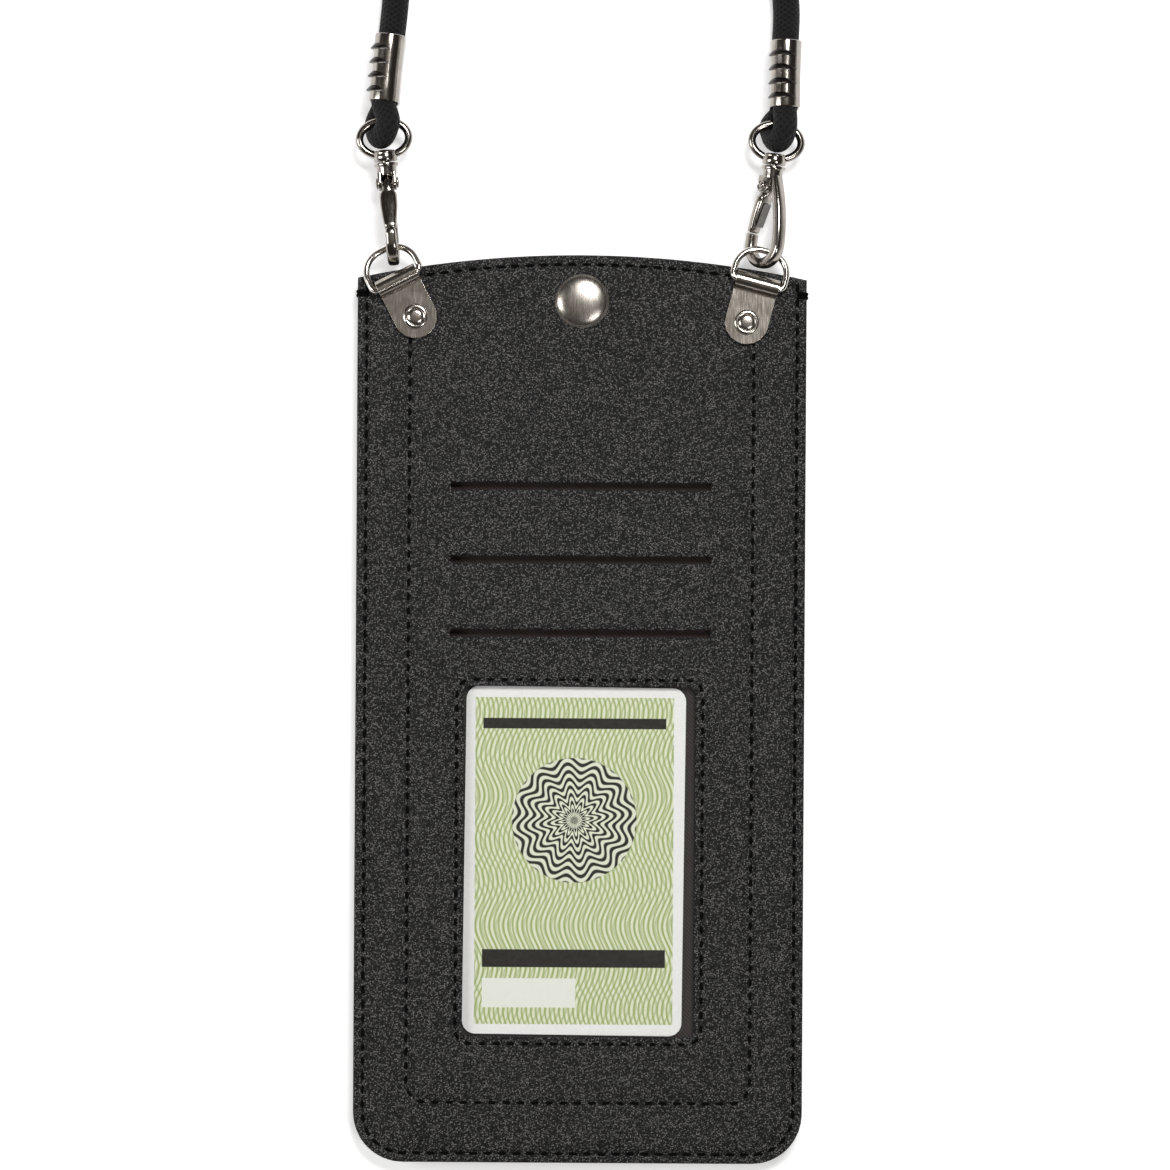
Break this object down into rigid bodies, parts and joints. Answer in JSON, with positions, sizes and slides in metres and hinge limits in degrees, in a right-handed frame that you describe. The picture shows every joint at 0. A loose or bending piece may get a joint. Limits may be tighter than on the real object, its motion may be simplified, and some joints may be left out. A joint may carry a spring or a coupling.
{
  "type": "neck pouch wallet",
  "caption": "Flat leather neck pouch with card slots, a clear card window, a snap at its mouth and a cord held by swivel snap hooks on riveted D-ring clips.",
  "frame": {"origin": "centre of the back panel's outer face, which rests on the table", "axes": "+X across the pouch to the viewer's right, +Y towards the mouth and cord, +Z out of the front face"},
  "size_m": [0.111, 0.392, 0.0157],
  "materials": {
    "leather": "fine pebbled grain, semi-matte black",
    "lining": "dark brown-black twill",
    "film": "clear flexible film",
    "card": null,
    "nickel": "polished nickel",
    "spring": "spring steel",
    "cord": "fine black braid",
    "tie": "black woven tie"
  },
  "bodies": {
    "pouch": {"front_panel": "leather", "back_panel": "leather", "seam_welt": "leather", "pocket_lining": "lining", "window_film": "film", "snap_cap": "nickel", "snap_socket": "nickel", "snap_stud": "nickel", "clip_plate_left": "nickel", "clip_plate_right": "nickel", "clip_rivet_left": "nickel", "clip_rivet_right": "nickel", "cord_coil": "cord", "coil_tie": "tie", "cord_leg_left": "cord", "cord_leg_right": "cord"},
    "card": {"insert_card": "card"},
    "clasp_left": {"d_ring_left": "nickel", "swivel_eye_left": "nickel", "cord_loop_left": "cord", "cord_ferrule_left": "nickel"},
    "hook_left": {"hook_body_left": "nickel", "gate_pin_left": "nickel"},
    "gate_left": {"hook_gate_left": "nickel", "gate_spring_left": "spring"},
    "clasp_right": {"d_ring_right": "nickel", "swivel_eye_right": "nickel", "cord_loop_right": "cord", "cord_ferrule_right": "nickel"},
    "hook_right": {"hook_body_right": "nickel", "gate_pin_right": "nickel"},
    "gate_right": {"hook_gate_right": "nickel", "gate_spring_right": "spring"}
  },
  "joints": [
    {"name": "card_slide", "type": "slide", "parent": "pouch", "child": "card", "axis": [0.0087, 1, 0], "range_m": [0, 0.013]},
    {"name": "d_ring_hinge_left", "type": "hinge", "parent": "pouch", "child": "clasp_left", "pos_m": [-0.0453, 0.1048, 0.0094], "axis": [0.891, 0.454, 0], "range_deg": [0, 35]},
    {"name": "hook_swivel_left", "type": "hinge", "parent": "clasp_left", "child": "hook_left", "pos_m": [-0.0462, 0.1086, 0.0074], "axis": [-0.0854, 0.9963, 0], "range_deg": [-40, 28]},
    {"name": "gate_hinge_left", "type": "hinge", "parent": "hook_left", "child": "gate_left", "pos_m": [-0.04793, 0.12873, 0.0083], "axis": [0.9963, 0.0854, 0], "range_deg": [0, 24], "stiffness_Nm_per_rad": 0.003, "springref_deg": -11.46},
    {"name": "d_ring_hinge_right", "type": "hinge", "parent": "pouch", "child": "clasp_right", "pos_m": [0.0429, 0.1046, 0.0094], "axis": [0.9659, -0.2588, 0], "range_deg": [0, 35]},
    {"name": "hook_swivel_right", "type": "hinge", "parent": "clasp_right", "child": "hook_right", "pos_m": [0.044, 0.1084, 0.0074], "axis": [0.1097, 0.994, 0], "range_deg": [-75, 0]},
    {"name": "gate_hinge_right", "type": "hinge", "parent": "hook_right", "child": "gate_right", "pos_m": [0.04562, 0.12854, 0.00673], "axis": [-0.7387, 0.0815, 0.6691], "range_deg": [0, 24], "stiffness_Nm_per_rad": 0.003, "springref_deg": -11.46}
  ]
}
